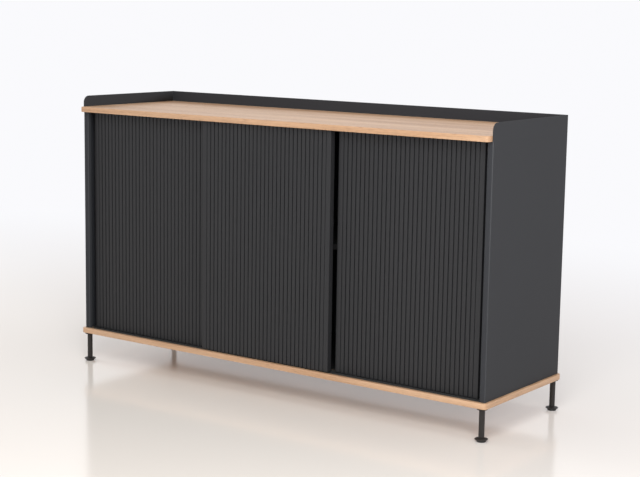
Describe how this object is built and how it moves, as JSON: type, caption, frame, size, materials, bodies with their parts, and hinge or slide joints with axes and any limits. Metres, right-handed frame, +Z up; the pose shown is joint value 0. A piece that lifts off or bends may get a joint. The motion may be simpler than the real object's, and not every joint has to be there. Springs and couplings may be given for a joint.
{
  "type": "tambour door cabinet",
  "caption": "Low sideboard on slim round legs: a folded sheet-steel body round an oak top and base, with ribbed tambour-style doors that slide past each other.",
  "frame": {"origin": "on the floor under the middle of the whole cabinet", "axes": "+X along the front to the right, +Y from front to back, +Z up"},
  "size_m": [1.483, 0.4506, 0.848],
  "materials": {
    "shell_paint": "fine matt powder coat",
    "oak": "matt lacquered oak",
    "carcass_paint": "matt dark lacquer",
    "door_paint": "matt dark lacquer",
    "door_backing": "matt dark lacquer",
    "glide_plastic": "smooth black",
    "track_metal": "dark anodised",
    "stop_rubber": "matt black",
    "leg_paint": "fine matt powder coat",
    "pad_plastic": "matt",
    "insert_brass": "plain",
    "dowel_wood": "plain beech",
    "fastener_steel": "zinc plated"
  },
  "bodies": {
    "carcass": {"base_board": "oak", "divider_left": "carcass_paint", "divider_right": "carcass_paint", "door_stops": "stop_rubber", "foot_front_left": "leg_paint", "foot_front_right": "leg_paint", "foot_rear_left": "leg_paint", "foot_rear_right": "leg_paint", "glide_pad_front_left": "pad_plastic", "glide_pad_front_right": "pad_plastic", "glide_pad_rear_left": "pad_plastic", "glide_pad_rear_right": "pad_plastic", "leg_collars": "leg_paint", "leg_front_left": "leg_paint", "leg_front_right": "leg_paint", "leg_inserts": "insert_brass", "leg_rear_left": "leg_paint", "leg_rear_right": "leg_paint", "panel_screws": "fastener_steel", "shelf_left": "carcass_paint", "shelf_middle": "carcass_paint", "shelf_pins": "fastener_steel", "shelf_right": "carcass_paint", "shell_nuts": "fastener_steel", "shell_studs": "fastener_steel", "side_panel_left": "carcass_paint", "side_panel_right": "carcass_paint", "steel_shell": "shell_paint", "top_board": "oak", "top_dowels": "dowel_wood", "track_lower_front": "track_metal", "track_lower_rear": "track_metal", "track_upper_front": "track_metal", "track_upper_rear": "track_metal"},
    "left_door": {"left_door_glides": "glide_plastic", "left_door_guides": "glide_plastic", "left_door_panel": "door_backing", "left_door_slats": "door_paint", "left_door_stile_left": "door_paint", "left_door_stile_right": "door_paint"},
    "middle_door": {"middle_door_glides": "glide_plastic", "middle_door_guides": "glide_plastic", "middle_door_panel": "door_backing", "middle_door_slats": "door_paint", "middle_door_stile_left": "door_paint", "middle_door_stile_right": "door_paint"},
    "right_door": {"right_door_glides": "glide_plastic", "right_door_guides": "glide_plastic", "right_door_panel": "door_backing", "right_door_slats": "door_paint", "right_door_stile_left": "door_paint", "right_door_stile_right": "door_paint"}
  },
  "joints": [
    {"name": "left_door_slide", "type": "slide", "parent": "carcass", "child": "left_door", "axis": [1, 0, 0], "range_m": [0, 0.234]},
    {"name": "middle_door_slide", "type": "slide", "parent": "carcass", "child": "middle_door", "axis": [1, 0, 0], "range_m": [-0.469, 0.492]},
    {"name": "right_door_slide", "type": "slide", "parent": "carcass", "child": "right_door", "axis": [1, 0, 0], "range_m": [-0.234, 0.007]}
  ]
}
